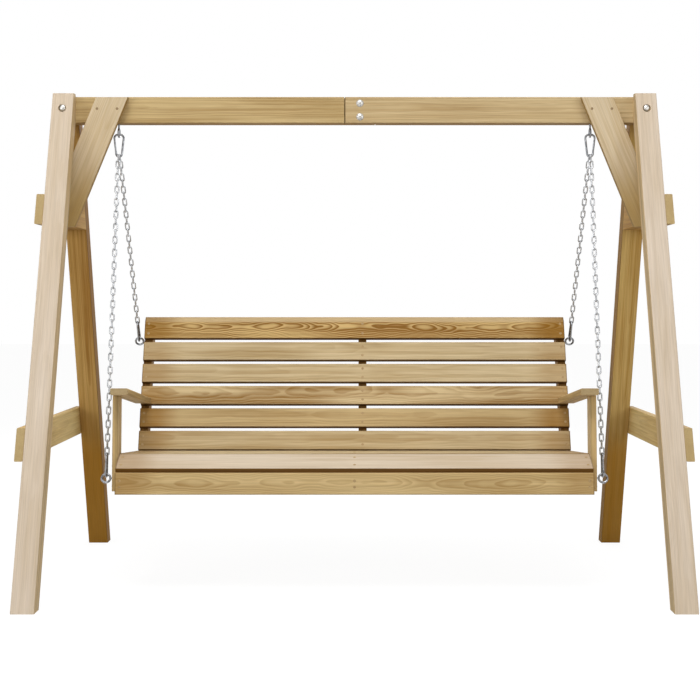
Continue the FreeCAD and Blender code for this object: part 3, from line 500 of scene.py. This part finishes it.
# The floor: its size, its colour for light and for the camera, and its own glow in the camera's view
FLOOR_SIZE = 60
FLOOR_LIT = (0.46, 0.44, 0.41, 1.0)
FLOOR_SEEN = (0.9, 0.9, 0.9, 1.0)
FLOOR_ROUGHNESS = 0.9
FLOOR_GLOW = 1.06
GLOW_SHARE = 0.86


def seen_directly(s):
    """1 for what the camera sees, also in reflections and through glass, and 0 for light on surfaces."""
    rays = s.add("ShaderNodeLightPath").outputs
    reflected = s.math("MAXIMUM", rays["Is Glossy Ray"], rays["Is Transmission Ray"])
    return s.math("MAXIMUM", rays["Is Camera Ray"], reflected)


def make_stage():
    bpy.ops.mesh.primitive_plane_add(size=FLOOR_SIZE, location=(0, 0, 0))
    floor = bpy.context.object
    floor.name = "floor"
    material, s, plain = new_material("floor_pale")
    seen = seen_directly(s)
    s.put(plain.inputs["Base Color"], s.mix(seen, FLOOR_LIT, FLOOR_SEEN))
    plain.inputs["Roughness"].default_value = FLOOR_ROUGHNESS
    plain.inputs["Specular IOR Level"].default_value = 0.0
    glow = s.add("ShaderNodeEmission")
    glow.inputs["Strength"].default_value = FLOOR_GLOW
    blend = s.add("ShaderNodeMixShader")
    s.put(blend.inputs[0], s.math("MULTIPLY", seen, GLOW_SHARE))
    s.put(blend.inputs[1], plain.outputs[0])
    s.put(blend.inputs[2], glow.outputs[0])
    s.put(s.tree.nodes["Material Output"].inputs["Surface"], blend.outputs[0])
    floor.data.materials.append(material)


# The dome of light: the heights between which it brightens, and its strength below and above them
DOME_RISE = (-0.1, 0.8)
DOME_STRENGTHS = (0.26, 0.56)
# The lamps, all aimed at the bench: name, place, width and height, and power in watts
LAMP_AIM = Vector((0, 0, 0.8))
LAMPS = (("key", (-0.5, -3.0, 5.8), (3.6, 2.4), 190),
         ("fill_left", (-4.2, -4.2, 2.2), (2.0, 2.0), 70),
         ("fill_right", (4.2, -4.2, 2.2), (2.0, 2.0), 60),
         ("fill_back", (1.0, 5.0, 3.2), (3.0, 2.0), 80))


def make_dome():
    world = bpy.data.worlds.new("soft_room")
    bpy.context.scene.world = world
    world.use_nodes = True
    s = Shader(world.node_tree)
    background = s.tree.nodes["Background"]
    background.inputs["Color"].default_value = (1.0, 1.0, 1.0, 1.0)
    direction = s.add("ShaderNodeSeparateXYZ")
    s.put(direction.inputs[0], s.add("ShaderNodeTexCoord").outputs["Generated"])
    dome = s.span(direction.outputs[2], *DOME_RISE, *DOME_STRENGTHS)
    s.put(background.inputs["Strength"], s.math("MAXIMUM", dome, seen_directly(s)))


def make_lamps():
    for name, place, size, power in LAMPS:
        lamp = bpy.data.lights.new(name, "AREA")
        lamp.shape = "RECTANGLE"
        lamp.size, lamp.size_y = size
        lamp.energy = power
        holder = bpy.data.objects.new(name, lamp)
        bpy.context.scene.collection.objects.link(holder)
        holder.location = place
        holder.rotation_euler = (LAMP_AIM - Vector(place)).to_track_quat("-Z", "Y").to_euler()


def make_camera():
    camera = bpy.data.cameras.new("camera")
    camera.sensor_width = SENSOR
    camera.lens = FOCAL_PIXELS / IMAGE_WIDTH * SENSOR
    camera.shift_x = 0.5 - CENTRE_X / IMAGE_WIDTH
    camera.shift_y = HORIZON_Y / IMAGE_WIDTH - 0.5
    holder = bpy.data.objects.new("camera", camera)
    bpy.context.scene.collection.objects.link(holder)
    holder.location = (0, -CAMERA_DISTANCE, CAMERA_HEIGHT)
    holder.rotation_euler = (math.pi / 2, 0, 0)
    bpy.context.scene.camera = holder


grain_group()
dress_stand()
dress_bench()
dress_steel()
make_stage()
make_dome()
make_lamps()
make_camera()
bpy.context.scene.view_settings.view_transform = "Standard"
